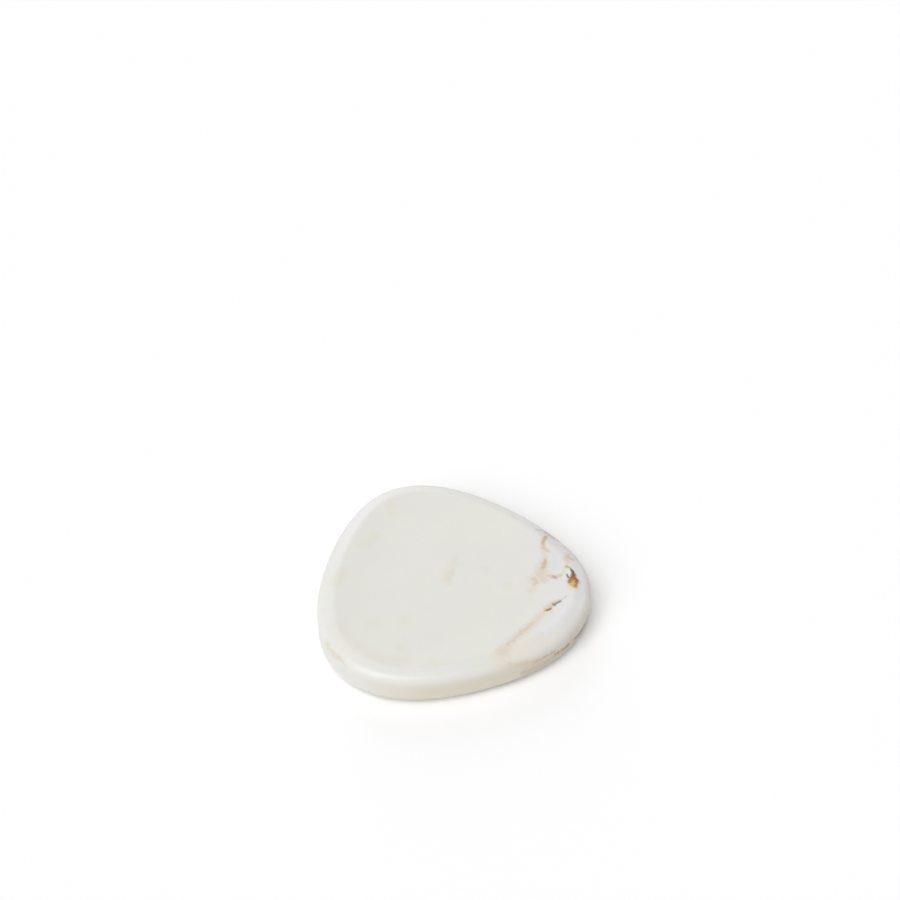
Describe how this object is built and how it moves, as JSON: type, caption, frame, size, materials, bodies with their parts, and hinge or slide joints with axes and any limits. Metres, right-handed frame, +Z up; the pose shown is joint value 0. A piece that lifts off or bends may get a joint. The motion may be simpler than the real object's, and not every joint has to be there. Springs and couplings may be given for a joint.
{
  "type": "marble tray",
  "caption": "Pebble-shaped marble vanity tray with a rounded rim and a shallow flat-floored dish, standing on clear bumper feet.",
  "frame": {"origin": "on the table, under the middle of the tray's bounding box", "axes": "+X along the tray's length towards its narrow end, +Y across its width, +Z up out of the dish"},
  "size_m": [0.137, 0.132, 0.0205],
  "materials": {
    "marble": "satin",
    "clear_silicone": "satin"
  },
  "bodies": {
    "root": {"marble_body": "marble", "foot_front_left": "clear_silicone", "foot_front_right": "clear_silicone", "foot_back_right": "clear_silicone", "foot_back_left": "clear_silicone"}
  },
  "joints": []
}
